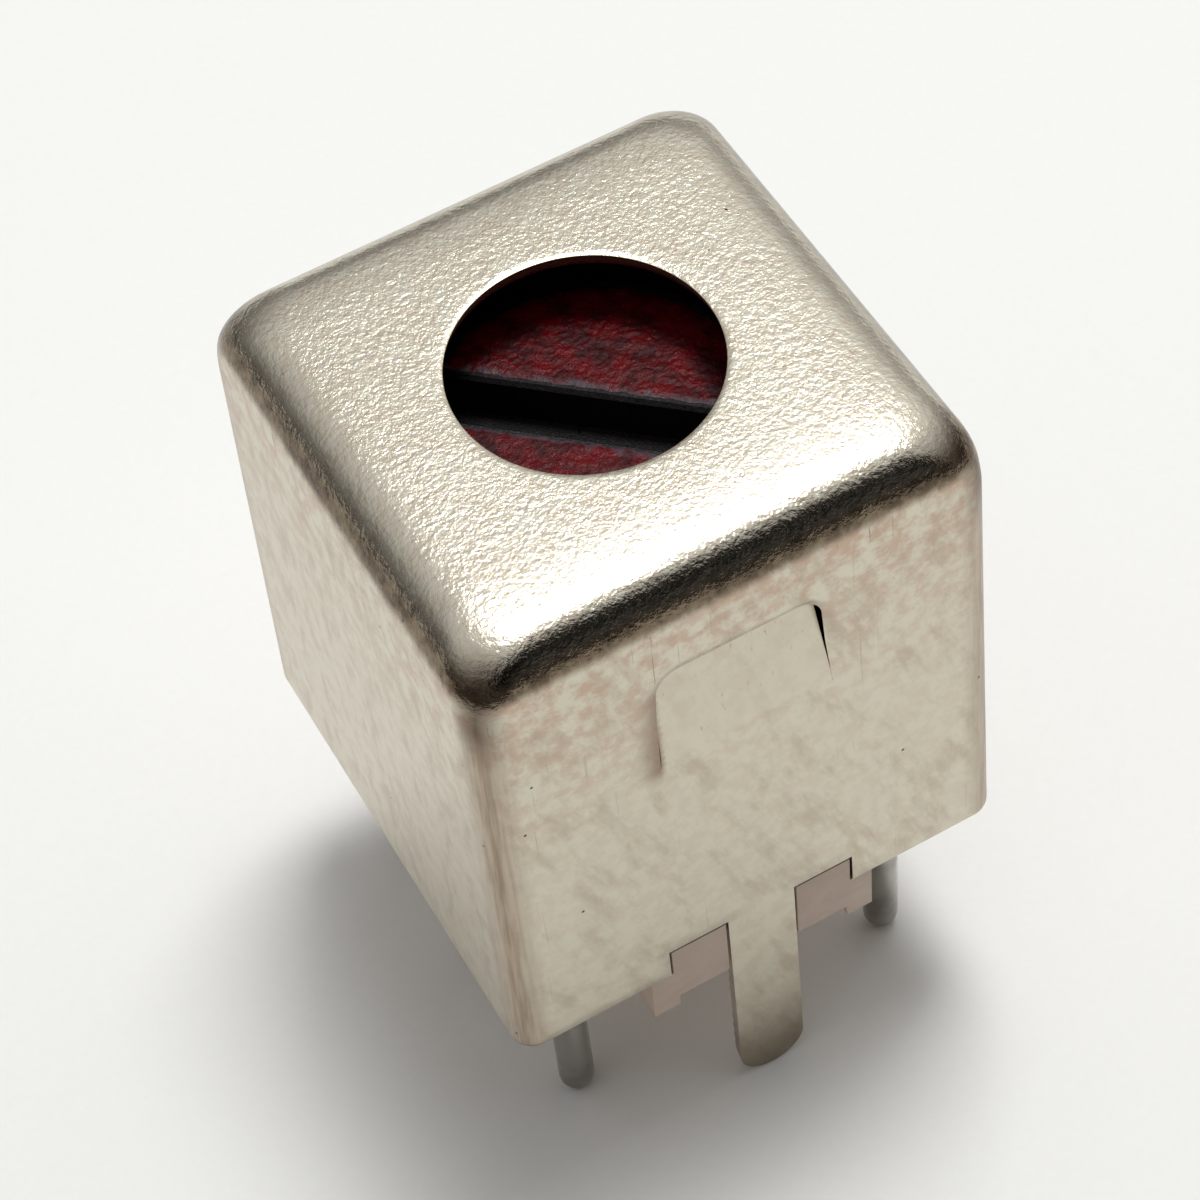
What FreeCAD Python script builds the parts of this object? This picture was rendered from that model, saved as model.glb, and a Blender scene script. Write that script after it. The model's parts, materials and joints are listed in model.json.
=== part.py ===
"""Shielded tunable coil, ten millimetres square, for through-hole boards.

Millimetres. +Z is up. The origin is the middle of the pin pattern on the board's surface, so z = 0 is
the plane that the base's feet stand on. The front, with its lug, is the -Y face.
"""
import FreeCAD
import Part
import math
import os

Vector = FreeCAD.Vector
UP = Vector(0, 0, 1)

# ---- shield can: drawn from one sheet -------------------------------------------------------------
can_width = 10.2            # outside, at the bottom edge
can_height = 11.15          # bottom edge to the outside of the top
can_draft = 0.2             # how much each side leans in over the can's height
can_sheet = 0.3             # thickness of the sheet
can_foot_corner = 0.5       # outside, upright corners at the bottom edge
can_waist_corner = 0.6      # the same where they start to open out towards the top
can_waist_drop = 2.75       # from the top of the can down to there
can_top_corner = 1.1        # the same at the top
can_top_radius = 1.0        # outside, round the top
can_standoff = 1.2          # bottom edge above the board
tool_hole_radius = 2.38     # hole in the top for the trimming tool
lug_width = 1.4
lug_reach = 3.8             # tip below the board's surface
notch_reach = 1.95          # from the middle of the face to the notch's far side
notch_height = 0.78         # above the bottom edge
panel_drop = 2.18           # from the top of the can to the locking panel's free edge
panel_height = 2.35
panel_top_width = 3.14
panel_root_width = 3.38
panel_corner_radius = 0.4
panel_lean = 0.42           # how far its free edge is pressed in
shear_gap = 0.03            # left by the cutting tool on each side of the panel

# ---- terminal base: moulded -----------------------------------------------------------------------
base_thickness = 1.8
base_fit = 0.08             # between the base's sides and the can
ear_drop = 0.9              # ears below the can's bottom edge
ear_fit = 0.05              # between the ears and the notch's edges
foot_width = 0.55           # the foot that each ear ends in
foot_depth = 1.1            # front to back
foot_proud = 0.42           # past the notch's far side, under the can's edge
drum_seat_depth = 0.4
lead_hole_radius = 0.2
lead_hole_wall = 0.13       # between the drum's seat and the lead holes
channel_width = 0.46        # the grooves under the base, from lead hole to pin
channel_depth = 0.34

# ---- pins -----------------------------------------------------------------------------------------
pin_radius = 0.35
pin_root_half = 0.28        # half the side of the coined square root, which the wire is wound on
pin_spread = 7.0            # between the two rows, and between the end pins of a row
pin_reach = 3.8             # below the board's surface
pin_root_rise = 0.05        # from the board's surface up to the square root
pin_in_base = 1.4           # pressed into the base
pin_point = 0.15            # bevel on the end
pin_fit = 0.01              # to the base and to the solder
solder_radius = 0.62
solder_neck_radius = 0.45
solder_top_gap = 0.06       # under the base
solder_height = 0.8
solder_round_drop = 0.24    # from its top down to where it narrows

# ---- wound drum core ------------------------------------------------------------------------------
drum_radius = 2.3
drum_height = 4.5
drum_flange = 0.5
drum_shaft_radius = 1.05
glue_bed = 0.1
glue_gap = 0.15             # between the drum and the wall of its seat
glue_fillet = 0.06          # how far the glue stands above the base
glue_fit = 0.01             # to the drum and to the seat's wall
winding_gap = 0.03          # between windings, shaft and flanges
winding_inset = 0.18        # from the flanges' edge to the outer winding
primary_depth = 0.65        # inner winding, from the shaft out

# ---- leads ----------------------------------------------------------------------------------------
lead_radius = 0.05
lead_bend_radius = 0.15
lead_start_rise = 0.42      # above the drum's lower flange
lead_end_gap = 0.02         # to the winding at one end, to the solder at the other
lead_end_drop = 0.32        # its end, below the solder's top
middle_lead_turn = 30.0     # degrees from the middle pin to its lead hole, round the drum

# ---- tuning core: threaded cup --------------------------------------------------------------------
core_depth = 1.4            # its top below the outside of the can's top
core_length = 5.7
core_roof = 1.9             # thickness above the cup
core_drum_gap = 0.3         # radial, to the drum
core_wall = 0.45            # from the cup to the thread's root
thread_depth = 0.25
thread_pitch = 0.5
thread_crest_width = 0.08
thread_root_width = 0.06
core_edge_bevel = 0.25
slot_width = 0.93
slot_depth = 0.95
slot_bevel = 0.07
slot_turn = -42.7           # degrees from +X
lacquer_thickness = 0.05
lacquer_margin = 0.12       # in from the core's bevel
lacquer_worn = 0.04         # back from the slot's bevel
brake_rise = 0.45           # from the cup's rim up to the brake ring's groove
brake_groove_height = 0.5
brake_groove_extra = 0.02   # deeper than the thread
brake_side_gap = 0.05
brake_groove_gap = 0.05     # between the ring and the bottom of its groove

# ---- core frame: moulded --------------------------------------------------------------------------
thread_fit = 0.05           # radial, from the thread's crest to the frame's ribs
frame_wall = 0.85
flute_count = 6
flute_radius = 0.5
flute_depth = 0.25
flange_fit = 0.1            # between the flange's sides and the can
flange_lock_gap = 0.06      # above the locking panels
flange_top_gap = 0.05       # under the can's top
flange_bevel = 0.6          # clears the round of the can's top
panel_relief = 0.1          # between the frame and the locking panels

# ---- for cutting ----------------------------------------------------------------------------------
past = 1.0                  # how far a cutting shape runs past what it cuts
same_level = 1e-4

# ---- levels and radii that follow -----------------------------------------------------------------
can_bottom = can_standoff
can_top = can_bottom + can_height
can_waist = can_top - can_waist_drop
ceiling = can_top - can_sheet
base_top = can_bottom + base_thickness
solder_top = can_bottom - solder_top_gap
solder_bottom = solder_top - solder_height
seat_floor = base_top - drum_seat_depth
seat_radius = drum_radius + glue_gap
lead_circle_radius = seat_radius + lead_hole_wall + lead_hole_radius
drum_bottom = seat_floor + glue_bed
drum_top = drum_bottom + drum_height
primary_radius = drum_shaft_radius + primary_depth
secondary_radius = drum_radius - winding_inset
core_top = can_top - core_depth
core_bottom = core_top - core_length
cup_radius = drum_radius + core_drum_gap
thread_root = cup_radius + core_wall
thread_crest = thread_root + thread_depth
brake_low = core_bottom + brake_rise
brake_high = brake_low + brake_groove_height
brake_root = thread_root - brake_groove_extra
frame_bore = thread_crest + thread_fit
frame_radius = frame_bore + frame_wall
panel_tip = can_top - panel_drop
panel_root = panel_tip - panel_height
half_lug = lug_width / 2
half_spread = pin_spread / 2


def can_half(z):
    """Half the can's outside width at a height."""
    return can_width / 2 - can_draft * (z - can_bottom) / can_height


def can_corner(z):
    """Outside radius of the can's upright corners at a height."""
    if z > can_waist:
        share = (z - can_waist) / can_waist_drop
        return can_waist_corner + (can_top_corner - can_waist_corner) * share
    share = max(0, (z - can_bottom) / (can_waist - can_bottom))
    return can_foot_corner + (can_waist_corner - can_foot_corner) * share


# ---- helpers --------------------------------------------------------------------------------------
def box(x0, x1, y0, y1, z0, z1):
    return Part.makeBox(x1 - x0, y1 - y0, z1 - z0, Vector(x0, y0, z0))


def rod(radius, z0, z1, x=0.0, y=0.0):
    return Part.makeCylinder(radius, z1 - z0, Vector(x, y, z0))


def turned(profile, x=0.0, y=0.0):
    """Solid turned about an upright axis from (radius, z) points."""
    points = [Vector(r, 0, z) for r, z in profile]
    face = Part.Face(Part.makePolygon(points + points[:1]))
    solid = face.revolve(Vector(), UP, 360)
    solid.translate(Vector(x, y, 0))
    return solid


def rounded_square(half, radius, z):
    """Square outline with round corners."""
    inner = half - radius
    mid = inner + radius * math.sqrt(0.5)
    edges = []
    for quarter in range(4):
        turn = FreeCAD.Rotation(UP, 90 * quarter)
        side = [Vector(half, -inner, z), Vector(half, inner, z)]
        bend = [side[1], Vector(mid, mid, z), Vector(inner, half, z)]
        side = [turn.multVec(p) for p in side]
        bend = [turn.multVec(p) for p in bend]
        edges.append(Part.LineSegment(*side).toShape())
        edges.append(Part.Arc(*bend).toShape())
    return Part.Wire(edges)


def leaning_block(inset, z0, z1):
    """Block that follows the can's lean and corners, a given distance inside its outer faces."""
    levels = [z0] + [z for z in (can_bottom, can_waist) if z0 < z < z1] + [z1]
    outlines = [rounded_square(can_half(z) - inset, can_corner(z) - inset, z) for z in levels]
    return Part.makeLoft(outlines, True, True)


def edges_at(shape, z):
    """Edges that lie in one level plane."""
    return [e for e in shape.Edges if all(abs(v.Z - z) < same_level for v in e.Vertexes)]


def face_outline(points, radius, y, reach):
    """Bar along +Y with an XZ outline: first two points sharp, last two rounded."""
    root_right, root_left, tip_left, tip_right = [Vector(x, y, z) for x, z in points]
    edges = [Part.LineSegment(root_right, root_left).toShape()]
    ends = []
    for tip, root, other in ((tip_left, root_left, tip_right), (tip_right, root_right, tip_left)):
        down = (root - tip).normalize()
        across = (other - tip).normalize()
        half_turn = (math.pi - down.getAngle(across)) / 2
        step = radius * math.tan(half_turn)
        middle = (down + across).normalize()
        centre = tip + middle * (radius / math.cos(half_turn))
        ends.append((tip + down * step, centre - middle * radius, tip + across * step))
    left, right = ends
    edges.append(Part.LineSegment(root_left, left[0]).toShape())
    edges.append(Part.Arc(*left).toShape())
    edges.append(Part.LineSegment(left[2], right[2]).toShape())
    edges.append(Part.Arc(*reversed(right)).toShape())
    edges.append(Part.LineSegment(right[0], root_right).toShape())
    return Part.Face(Part.Wire(edges)).extrude(Vector(0, reach, 0))


def half_turn_copy(shape):
    """The same piece on the opposite face."""
    copy = shape.copy()
    copy.rotate(Vector(), UP, 180)
    return copy


def four_quarters(shape):
    """A piece and its mirror images in X and in Y."""
    left = shape.mirror(Vector(), Vector(1, 0, 0))
    pair = [shape, left]
    return pair + [s.mirror(Vector(), Vector(0, 1, 0)) for s in pair]


def one_solid(body, cuts=()):
    """Body less each cut in turn, as a single solid with split faces joined."""
    for cut in cuts:
        body = body.cut(cut)
    return body.removeSplitter().Solids[0]


def bent_wire(points, bend, radius):
    """Round wire through points, with a tangent arc at each inner one."""
    edges = []
    last = points[0]
    for before, corner, after in zip(points, points[1:], points[2:]):
        back = (before - corner).normalize()
        ahead = (after - corner).normalize()
        half_turn = (math.pi - back.getAngle(ahead)) / 2
        step = bend * math.tan(half_turn)
        middle = (back + ahead).normalize()
        top = corner + middle * (bend / math.cos(half_turn) - bend)
        arc = (corner + back * step, top, corner + ahead * step)
        edges.append(Part.LineSegment(last, arc[0]).toShape())
        edges.append(Part.Arc(*arc).toShape())
        last = arc[2]
    edges.append(Part.LineSegment(last, points[-1]).toShape())
    path = Part.Wire(edges)
    ring = Part.Wire(Part.makeCircle(radius, points[0], points[1] - points[0]))
    return path.makePipeShell([ring], True, True)


# ---- places of the pins and leads -----------------------------------------------------------------
def pin_places():
    """Three pins in the left row, two in the right: pin, and its lead hole's angle."""
    rows = [(-1, -1, 0.0), (-1, 0, -middle_lead_turn), (-1, 1, 0.0), (1, 1, 0.0), (1, -1, 0.0)]
    places = []
    for across, along, turn in rows:
        x = across * half_spread
        y = along * half_spread
        places.append((x, y, math.atan2(y, x) + math.radians(turn)))
    return places


def lead_hole(angle):
    return lead_circle_radius * math.cos(angle), lead_circle_radius * math.sin(angle)


# ---- shield can -----------------------------------------------------------------------------------
def can_shell(lowest):
    """Drawn shell before trimming, open at the bottom."""
    outer = leaning_block(0, lowest, can_top)
    outer = outer.makeFillet(can_top_radius, edges_at(outer, can_top))
    inner = leaning_block(can_sheet, lowest - past, ceiling)
    inner = inner.makeFillet(can_top_radius - can_sheet, edges_at(inner, ceiling))
    return outer.cut(inner)


def trimmed_off(lowest):
    """What the press removes below the bottom edge: all but the two lugs, and the notches."""
    far = can_width
    waste = box(-far, far, -far, far, lowest - past, can_bottom)
    notch = box(-notch_reach, notch_reach, -far, far, can_bottom - past, can_bottom + notch_height)
    round_at = lowest + half_lug
    lugs = box(-half_lug, half_lug, -far, far, round_at, can_top)
    tip = Part.makeCylinder(half_lug, 2 * far, Vector(0, -far, round_at), Vector(0, 1, 0))
    return waste.fuse(notch).cut(lugs.fuse(tip))


def panel_bar(gap):
    """Bar through the front face with the locking panel's outline."""
    root = panel_root_width / 2 - gap
    tip = panel_top_width / 2 - gap
    points = [(root, panel_root), (-root, panel_root), (-tip, panel_tip - gap), (tip, panel_tip - gap)]
    front = -can_half(panel_root) - past
    reach = past + panel_lean + 2 * can_sheet
    return face_outline(points, panel_corner_radius, front, reach)


def locking_panel():
    """Tongue cut on three sides and pressed in at its top."""
    root_y = -can_half(panel_root)
    tip_y = -can_half(panel_tip) + panel_lean
    far = can_width / 2
    profile = [(root_y, panel_root), (tip_y, panel_tip), (tip_y + can_sheet, panel_tip)]
    profile.append((root_y + can_sheet, panel_root))
    points = [Vector(-far, y, z) for y, z in profile]
    slab = Part.Face(Part.makePolygon(points + points[:1])).extrude(Vector(2 * far, 0, 0))
    return slab.common(panel_bar(shear_gap))


def shield_can():
    lowest = -lug_reach
    shell = can_shell(lowest).cut(trimmed_off(lowest))
    shell = shell.cut(rod(tool_hole_radius, ceiling - past, can_top + past))
    window = panel_bar(0)
    panel = locking_panel()
    for cut, tongue in ((window, panel), (half_turn_copy(window), half_turn_copy(panel))):
        shell = shell.cut(cut).fuse(tongue)
    return one_solid(shell)


# ---- terminal base --------------------------------------------------------------------------------
def base_ear():
    """Ear in the notch beside a lug, and the foot that carries the can's edge."""
    front = -can_half(can_bottom) + ear_fit
    behind = front + foot_depth
    ear_right = notch_reach - ear_fit
    ear_top = can_bottom + notch_height - ear_fit
    ear = box(half_lug + ear_fit, ear_right, front, behind, can_bottom - ear_drop, ear_top)
    foot_right = notch_reach + foot_proud
    foot = box(foot_right - foot_width, foot_right, front, behind, 0, can_bottom)
    return ear.fuse(foot)


def wire_channel(x, y, angle):
    """Groove under the base from a lead hole to its pin."""
    hole_x, hole_y = lead_hole(angle)
    run = math.hypot(x - hole_x, y - hole_y)
    half = channel_width / 2
    groove = box(0, run, -half, half, can_bottom - past, can_bottom + channel_depth)
    groove.rotate(Vector(), UP, math.degrees(math.atan2(y - hole_y, x - hole_x)))
    groove.translate(Vector(hole_x, hole_y, 0))
    return groove


def terminal_base():
    body = leaning_block(can_sheet + base_fit, can_bottom, base_top)
    body = body.fuse(four_quarters(base_ear()))
    root_half = pin_root_half + pin_fit
    cuts = [rod(seat_radius, seat_floor, base_top + past)]
    for x, y, angle in pin_places():
        hole_x, hole_y = lead_hole(angle)
        cuts.append(pin_root(root_half, can_bottom - past, can_bottom + pin_in_base, x, y))
        cuts.append(rod(lead_hole_radius, can_bottom - past, base_top + past, hole_x, hole_y))
        cuts.append(wire_channel(x, y, angle))
    return one_solid(body, cuts)


def pin_root(half, bottom, top, x, y):
    """Square upper part of a pin, or the hole for it."""
    return box(x - half, x + half, y - half, y + half, bottom, top)


def pin(x, y):
    """Round pin with a bevelled end and a square root pressed into the base."""
    profile = [(0, -pin_reach), (pin_radius - pin_point, -pin_reach)]
    profile += [(pin_radius, -pin_reach + pin_point), (pin_radius, pin_root_rise), (0, pin_root_rise)]
    root = pin_root(pin_root_half, pin_root_rise - pin_point, can_bottom + pin_in_base, x, y)
    return one_solid(turned(profile, x, y).fuse(root))


def solder_joint(x, y):
    """Solder over the wire's turns on the pin's root, under the base."""
    shoulder = solder_top - solder_round_drop
    profile = [(0, solder_bottom), (solder_neck_radius, solder_bottom), (solder_radius, shoulder)]
    profile += [(solder_radius, solder_top), (0, solder_top)]
    root = pin_root(pin_root_half + pin_fit, solder_bottom - past, solder_top + past, x, y)
    return one_solid(turned(profile, x, y), [root])


# ---- wound drum -----------------------------------------------------------------------------------
def drum_core():
    low_flange = drum_bottom + drum_flange
    high_flange = drum_top - drum_flange
    profile = [(0, drum_bottom), (drum_radius, drum_bottom), (drum_radius, low_flange)]
    profile += [(drum_shaft_radius, low_flange), (drum_shaft_radius, high_flange)]
    profile += [(drum_radius, high_flange), (drum_radius, drum_top), (0, drum_top)]
    return turned(profile)


def winding(inner, outer):
    bottom = drum_bottom + drum_flange + winding_gap
    top = drum_top - drum_flange - winding_gap
    profile = [(inner + winding_gap, bottom), (outer, bottom), (outer, top), (inner + winding_gap, top)]
    return turned(profile)


def drum_adhesive():
    """Bed of glue under the drum and up round its lower flange."""
    outer = seat_radius - glue_fit
    inner = drum_radius + glue_fit
    top = base_top + glue_fillet
    profile = [(0, seat_floor), (outer, seat_floor), (outer, top), (inner, top)]
    profile += [(inner, drum_bottom), (0, drum_bottom)]
    return turned(profile)


def lead_wire(x, y, angle):
    """Lead from the winding over the drum's flange, down its hole and along its groove to the pin."""
    outward = Vector(math.cos(angle), math.sin(angle), 0)
    hole = outward * lead_circle_radius
    away = (Vector(x, y, 0) - hole).normalize()
    to_solder = (Vector(x, y, 0) - hole).Length - solder_radius - lead_end_gap
    start = outward * (secondary_radius + lead_radius + lead_end_gap)
    start_z = drum_bottom + drum_flange + lead_start_rise
    groove_z = can_bottom + channel_depth / 2
    end_z = solder_top - lead_end_drop
    points = [start + UP * start_z]
    points.append(hole + UP * (base_top + 2 * lead_bend_radius))
    points.append(hole + UP * groove_z)
    points.append(hole + away * (to_solder - 2 * lead_bend_radius) + UP * groove_z)
    points.append(hole + away * (to_solder - lead_radius) + UP * end_z)
    return bent_wire(points, lead_bend_radius, lead_radius)


# ---- tuning core ----------------------------------------------------------------------------------
def thread_groove(low, high):
    """Helical groove of the core's thread, from the brake ring's groove out past the top.

    Its sides slope on past the crest, as far as still keeps one turn clear of the next.
    """
    root_half = thread_root_width / 2
    crest_half = (thread_pitch - thread_crest_width) / 2
    outer_half = crest_half + thread_crest_width / 4
    outer = thread_root + thread_depth * (outer_half - root_half) / (crest_half - root_half)
    profile = [(thread_root, -root_half), (outer, -outer_half)]
    profile += [(r, -z) for r, z in reversed(profile)]
    points = [Vector(r, 0, low + z) for r, z in profile]
    helix = Part.makeLongHelix(thread_pitch, high - low, thread_root)
    helix.translate(Vector(0, 0, low))
    return Part.Wire(helix.Edges).makePipeShell([Part.makePolygon(points + points[:1])], True, True)


def slot_bar(half, bottom):
    """Bar as wide as a slot through the core's top."""
    reach = thread_crest + past
    bar = box(-reach, reach, -half, half, bottom, core_top + past)
    bar.rotate(Vector(), UP, slot_turn)
    return bar


def slot_bevel_cut(half):
    """Wedge that breaks the slot's two top edges."""
    reach = thread_crest + past
    top = core_top - lacquer_thickness
    profile = [(half, top - slot_bevel), (half + slot_bevel, top)]
    points = [Vector(-reach, y, z) for y, z in profile]
    points += [Vector(-reach, -y, z) for y, z in reversed(profile)]
    wedge = Part.Face(Part.makePolygon(points + points[:1])).extrude(Vector(2 * reach, 0, 0))
    wedge.rotate(Vector(), UP, slot_turn)
    return wedge


def tuning_core():
    top = core_top - lacquer_thickness
    cup_roof = core_top - core_roof
    low_edge = core_bottom + core_edge_bevel
    high_edge = top - core_edge_bevel
    profile = [(cup_radius, core_bottom), (thread_crest - core_edge_bevel, core_bottom)]
    profile += [(thread_crest, low_edge), (thread_crest, brake_low)]
    profile += [(brake_root, brake_low), (brake_root, brake_high)]
    profile += [(thread_crest, brake_high), (thread_crest, high_edge)]
    profile += [(thread_crest - core_edge_bevel, top), (0, top), (0, cup_roof), (cup_radius, cup_roof)]
    thread = thread_groove((brake_low + brake_high) / 2, core_top + thread_pitch)
    half = slot_width / 2
    slot = slot_bar(half, core_top - slot_depth)
    return one_solid(turned(profile), [thread, slot, slot_bevel_cut(half)])


def core_lacquer():
    """Colour coat on the core's top, both sides of the slot."""
    radius = thread_crest - core_edge_bevel - lacquer_margin
    coat = rod(radius, core_top - lacquer_thickness, core_top)
    half = slot_width / 2 + slot_bevel + lacquer_worn
    return Part.makeCompound(coat.cut(slot_bar(half, core_top - past)).Solids)


def core_brake_ring():
    """Soft ring in the core's groove; its rub on the frame holds the setting."""
    low = brake_low + brake_side_gap
    high = brake_high - brake_side_gap
    inner = brake_root + brake_groove_gap
    return turned([(inner, low), (thread_crest, low), (thread_crest, high), (inner, high)])


# ---- core frame -----------------------------------------------------------------------------------
def frame_flange():
    """Square flange that fills the top of the can."""
    low = panel_tip + flange_lock_gap
    high = ceiling - flange_top_gap
    inset = can_sheet + flange_fit
    corner = can_top_corner - can_sheet
    block = Part.makeLoft([rounded_square(can_half(z) - inset, corner, z) for z in (low, high)], True, True)
    return block.makeChamfer(flange_bevel, edges_at(block, high))


def panel_space():
    """What the front locking panel needs, with room to move in as the can goes on."""
    inner = -can_half(panel_tip) + panel_lean + can_sheet + panel_relief
    half = panel_root_width / 2 + panel_relief
    return box(-half, half, -can_width, inner, panel_root - past, panel_tip + flange_lock_gap)


def core_frame():
    body = frame_flange().fuse(rod(frame_radius, base_top, panel_tip + 2 * flange_lock_gap))
    cuts = [rod(frame_bore, base_top - past, can_top), panel_space(), half_turn_copy(panel_space())]
    reach = frame_bore + flute_depth - flute_radius
    for n in range(flute_count):
        angle = 2 * math.pi * n / flute_count
        x, y = reach * math.cos(angle), reach * math.sin(angle)
        cuts.append(rod(flute_radius, base_top - past, can_top, x, y))
    return one_solid(body, cuts)


# ---- every node -----------------------------------------------------------------------------------
def all_nodes():
    nodes = {"shield_can": shield_can(), "terminal_base": terminal_base(), "core_frame": core_frame()}
    nodes["tuning_core"] = tuning_core()
    nodes["core_lacquer"] = core_lacquer()
    nodes["core_brake_ring"] = core_brake_ring()
    nodes["drum_core"] = drum_core()
    nodes["drum_adhesive"] = drum_adhesive()
    nodes["primary_winding"] = winding(drum_shaft_radius, primary_radius)
    nodes["secondary_winding"] = winding(primary_radius, secondary_radius)
    for number, (x, y, angle) in enumerate(pin_places(), 1):
        nodes[f"pin_{number}"] = pin(x, y)
        nodes[f"solder_joint_{number}"] = solder_joint(x, y)
        nodes[f"lead_wire_{number}"] = lead_wire(x, y, angle)
    return nodes


def main():
    os.makedirs("parts", exist_ok=True)
    for name, shape in all_nodes().items():
        shape.exportStep(f"parts/{name}.step")
        print(f"{name}: {len(shape.Solids)} solid, {shape.Volume:.3f} mm3, valid {shape.isValid()}")


main()
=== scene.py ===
"""Looks of a shielded tunable coil, ten millimetres square, on its pins. Metres, in the CAD frame."""

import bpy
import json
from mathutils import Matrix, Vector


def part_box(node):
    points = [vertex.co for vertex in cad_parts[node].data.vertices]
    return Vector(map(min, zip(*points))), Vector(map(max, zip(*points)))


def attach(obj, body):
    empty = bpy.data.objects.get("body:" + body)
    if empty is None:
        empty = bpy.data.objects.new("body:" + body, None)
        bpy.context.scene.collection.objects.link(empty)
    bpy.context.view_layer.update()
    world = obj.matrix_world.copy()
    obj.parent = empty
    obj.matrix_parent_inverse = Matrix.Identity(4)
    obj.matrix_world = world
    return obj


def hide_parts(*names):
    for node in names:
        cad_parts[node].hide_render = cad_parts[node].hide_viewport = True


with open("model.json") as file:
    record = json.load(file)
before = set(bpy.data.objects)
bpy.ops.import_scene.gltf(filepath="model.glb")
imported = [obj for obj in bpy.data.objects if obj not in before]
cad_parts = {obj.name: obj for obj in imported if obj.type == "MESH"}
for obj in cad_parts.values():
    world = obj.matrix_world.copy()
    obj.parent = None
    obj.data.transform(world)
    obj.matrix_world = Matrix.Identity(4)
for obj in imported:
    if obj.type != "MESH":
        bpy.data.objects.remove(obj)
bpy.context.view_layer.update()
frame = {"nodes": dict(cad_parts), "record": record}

import json
import math
import bmesh
import bpy
import numpy as np
from mathutils import Matrix, Vector, noise
from mathutils.geometry import delaunay_2d_cdt

mm = 0.001
scene = bpy.context.scene

# ---- sizes of the can, from the frame and from its drawing ----------------------------------------
can_low, can_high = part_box("shield_can")
base_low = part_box("terminal_base")[0]
can_width = 2 * can_high.x
can_top = can_high.z
lug_tip = can_low.z
can_bottom = base_low.z + 1.2 * mm      # the base's feet hold the can's edge this far above the board
can_draft = 0.2 * mm                    # lean of each side over the can's height
can_sheet = 0.3 * mm
foot_corner = 0.46 * mm                 # upright corners: tight at the bottom edge
waist_corner = 0.56 * mm                # a little wider under the top's round
top_corner = 0.98 * mm                  # and opened out where they run into it
corner_opens = (can_top - 1.5 * mm, can_top - 0.15 * mm)
top_radius = 1.0 * mm
hole_radius = 2.38 * mm
lug_half = 0.7 * mm
notch_half = 1.95 * mm
notch_top = can_bottom + 0.78 * mm
panel_tip = can_top - 2.18 * mm
panel_root = panel_tip - 2.35 * mm
panel_tip_half = 1.57 * mm
panel_root_half = 1.69 * mm
panel_corner = 0.48 * mm
panel_lean = 0.42 * mm
panel_gap = 0.03 * mm
root_gap_share = 0.15                   # the cut closes up towards the panel's root

# ---- how finely the can is drawn, and its pressed edges -------------------------------------------
wall_columns = 48
wall_rows = 64
round_steps = 12
coarse_step = 0.2 * mm
fine_step = 0.09 * mm
edge_step = 0.09 * mm
cut_roll_width = 0.14 * mm              # the press rounds the outside of a cut edge
cut_roll_drop = 0.035 * mm
hole_roll_width = 0.12 * mm
hole_roll_drop = 0.02 * mm
window_roll_width = 0.36 * mm
window_roll_drop = 0.1 * mm
sliver = 0.0001 * mm                    # a triangle flatter than this is only rounding along a straight edge
panel_bend = 0.2                        # share of the panel's height over which its root bends
crown_slope = math.radians(4)           # the top falls away a little before its round begins
crown_width = 0.9 * mm
panel_shade_width = 0.42 * mm                   # painted brown shade on the wall beside each panel's left cut
panel_shade_strength = 0.85
panel_shade_reach = 1.15                        # where the painted shade ends, in widths of it from the cut
burnish_reach = 1.2                     # where the corners' burnish ends, in corner radii from the edge
cut_edge = 0.01 * mm                    # points this near the hole's radius are on its bare edge
cut_roll_shares = (0.25, 0.55, 1.0)     # rows of points across the rolled edges
hole_roll_shares = (0, 0.2, 0.45, 0.7, 1.0)
fine_reach = 0.4 * mm                   # fine triangles reach this far from the panel's cut
row_share = 0.866                       # spacing of the rows of a triangular grid, in its steps
clear_share = 0.55                      # and how far its points stay off an outline
same_place = 0.001 * mm                 # points closer than this are one


def half_at(z):
    """Half the can's outside width at a height."""
    return can_width / 2 - can_draft * (z - can_bottom) / (can_top - can_bottom)


def corner_at(z):
    """Outside radius of the can's upright corners at a height."""
    up = (z - can_bottom) / (can_top - can_bottom)
    low, high = corner_opens
    opened = min(max((z - low) / (high - low), 0), 1)
    opened = opened * opened * (3 - 2 * opened)
    wall_corner = foot_corner + (waist_corner - foot_corner) * up
    return wall_corner + (top_corner - wall_corner) * opened


draft_angle = math.atan(can_draft / (can_top - can_bottom))
crown_drop = crown_width * math.tan(crown_slope) / 2
round_centre_z = can_top - crown_drop - top_radius * math.cos(crown_slope)
wall_top = round_centre_z + top_radius * math.sin(draft_angle)
round_centre_y = half_at(wall_top) - top_radius * math.cos(draft_angle)


# ---- mesh helpers ---------------------------------------------------------------------------------
def steps(a, b, count):
    """Evenly spaced values from a to b, both included."""
    return [a + (b - a) * n / count for n in range(count + 1)]


def line(p, q, step=edge_step):
    """Points from p up to but not including q."""
    count = max(1, round(math.dist(p, q) / step))
    return [tuple(a + (b - a) * n / count for a, b in zip(p, q)) for n in range(count)]


def arc(centre, radius, start, end, step=edge_step):
    """Points of an arc, in degrees, from its start up to but not including its end."""
    count = max(4, round(abs(math.radians(end - start)) * radius / step))
    turns = [math.radians(start + (end - start) * n / count) for n in range(count)]
    return [(centre[0] + radius * math.cos(t), centre[1] + radius * math.sin(t)) for t in turns]


def inside(points, loop):
    """Which points lie inside a closed outline."""
    x, y = points[:, 0], points[:, 1]
    odd = np.zeros(len(points), bool)
    for (x0, y0), (x1, y1) in zip(loop, loop[1:] + loop[:1]):
        if y0 != y1:
            crosses = (y0 > y) != (y1 > y)
            odd ^= crosses & (x < x0 + (x1 - x0) * (y - y0) / (y1 - y0))
    return odd


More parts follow.
